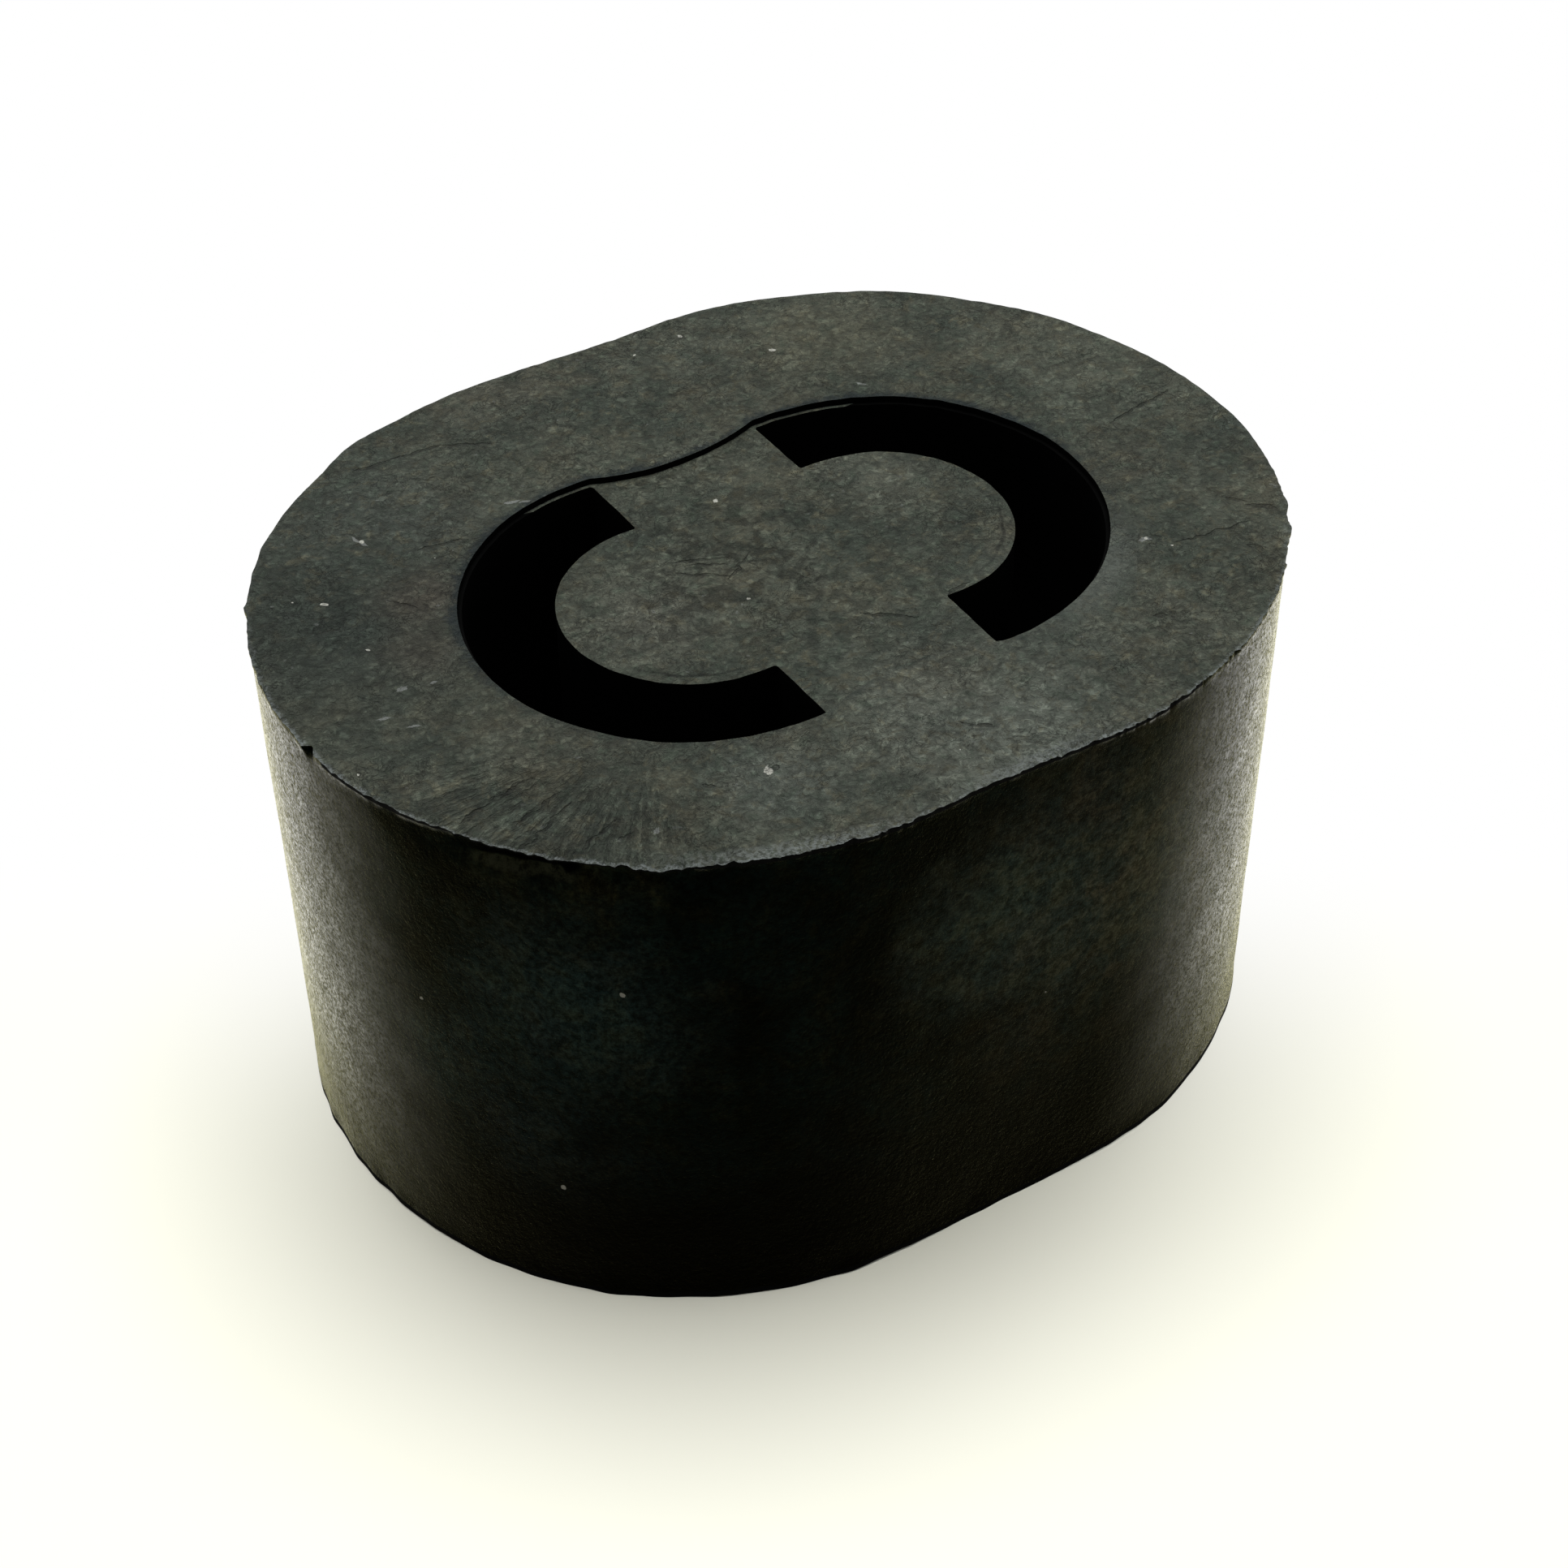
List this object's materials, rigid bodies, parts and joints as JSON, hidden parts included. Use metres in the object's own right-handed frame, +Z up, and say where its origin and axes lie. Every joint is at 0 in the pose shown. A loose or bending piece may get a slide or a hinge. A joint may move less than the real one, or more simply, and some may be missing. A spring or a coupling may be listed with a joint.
{
  "type": "exhaust hanger rubber",
  "caption": "Oval rubber block with C-shaped slots around a waisted core; hooks through the slots hang an exhaust pipe from a car's underbody.",
  "frame": {"origin": "middle of the block's length and width, on the face that it rests on", "axes": "+X along the block's length, from slot to slot; +Z up through the slots, from face to face; +Y towards the flank with the thicker wall"},
  "size_m": [0.065, 0.0516, 0.0354],
  "materials": {
    "rubber": "matt black rubber, with greyer, dusty cut faces"
  },
  "bodies": {
    "root": {"hanger_block": "rubber"}
  },
  "joints": []
}
